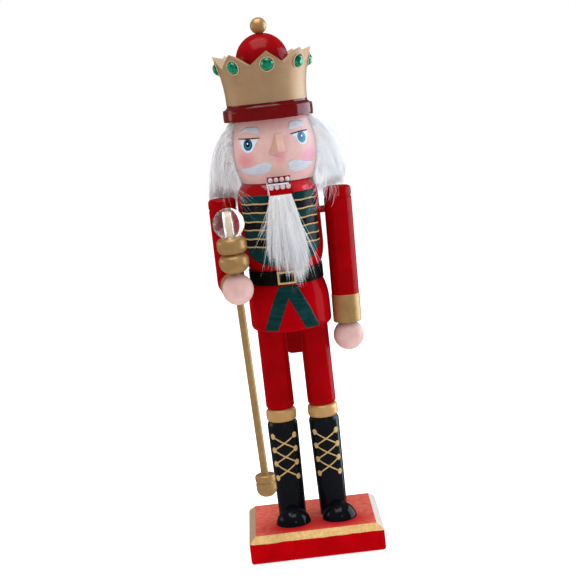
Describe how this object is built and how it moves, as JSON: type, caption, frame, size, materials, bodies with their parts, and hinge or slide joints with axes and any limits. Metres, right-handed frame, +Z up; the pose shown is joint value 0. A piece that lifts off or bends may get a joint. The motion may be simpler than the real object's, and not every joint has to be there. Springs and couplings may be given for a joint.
{
  "type": "nutcracker figure",
  "caption": "Turned-wood nutcracker king on a bevelled base with a ball-topped sceptre; a lever at the back opens the jaw, and both arms swing at the shoulders.",
  "frame": {"origin": "centre of the base's underside", "axes": "+Z up, the figure faces -Y, and its left side is towards +X"},
  "size_m": [0.1024, 0.096, 0.3828],
  "materials": {
    "red_lacquer": "gloss lacquer",
    "dark_red_lacquer": "satin lacquer",
    "black_lacquer": "gloss lacquer",
    "gold_paint": "metallic paint",
    "skin_paint": "satin paint",
    "bare_wood": "bare",
    "steel_pin": "plain",
    "black_belt": "satin",
    "white_fur": "long pile",
    "green_gem": "clear gloss",
    "clear_ball": "clear"
  },
  "bodies": {
    "figure": {"base_block": "dark_red_lacquer", "right_boot": "black_lacquer", "left_boot": "black_lacquer", "right_shoe_toe": "black_lacquer", "left_shoe_toe": "black_lacquer", "right_knee_band": "gold_paint", "left_knee_band": "gold_paint", "right_trouser_leg": "red_lacquer", "left_trouser_leg": "red_lacquer", "right_leg_dowel": "bare_wood", "left_leg_dowel": "bare_wood", "coat_skirt": "red_lacquer", "waist_dowel": "bare_wood", "belt": "black_belt", "torso": "red_lacquer", "jaw_pin": "steel_pin", "head_dowels": "bare_wood", "head": "skin_paint", "nose": "skin_paint", "hair": "white_fur", "hat_brim": "dark_red_lacquer", "hat_dowel": "bare_wood", "crown": "gold_paint", "crown_gems": "green_gem", "crown_dome": "red_lacquer", "finial_ball": "gold_paint"},
    "jaw": {"jaw_block": "red_lacquer", "jaw_lever_tail": "red_lacquer"},
    "beard": {"beard": "white_fur"},
    "left_arm": {"left_sleeve": "red_lacquer", "left_cuff": "gold_paint", "left_hand": "skin_paint", "left_shoulder_dowel": "bare_wood", "left_wrist_dowel": "bare_wood"},
    "right_arm": {"right_upper_sleeve": "red_lacquer", "right_forearm": "red_lacquer", "right_cuff": "gold_paint", "right_hand": "skin_paint", "right_shoulder_dowel": "bare_wood", "right_wrist_dowel": "bare_wood", "sceptre_shaft": "gold_paint", "sceptre_knob_lower": "gold_paint", "sceptre_knob_upper": "gold_paint", "sceptre_ball": "clear_ball", "sceptre_foot": "gold_paint"}
  },
  "joints": [
    {"name": "jaw_hinge", "type": "hinge", "parent": "figure", "child": "jaw", "pos_m": [0, 0.002, 0.256], "axis": [1, 0, 0], "range_deg": [0, 18]},
    {"name": "beard_hang", "type": "hinge", "parent": "jaw", "child": "beard", "pos_m": [0, -0.0333, 0.261], "axis": [1, 0, 0], "range_deg": [-18, 0]},
    {"name": "left_arm_swing", "type": "hinge", "parent": "figure", "child": "left_arm", "pos_m": [0.04, 0, 0.244], "axis": [1, 0, 0], "range_deg": [-90, 30]},
    {"name": "right_arm_swing", "type": "hinge", "parent": "figure", "child": "right_arm", "pos_m": [-0.04, 0, 0.244], "axis": [1, 0, 0], "range_deg": [-45, 8]}
  ],
  "couplings": [
    {"joint": "beard_hang", "follows": "jaw_hinge", "ratio": -1}
  ]
}
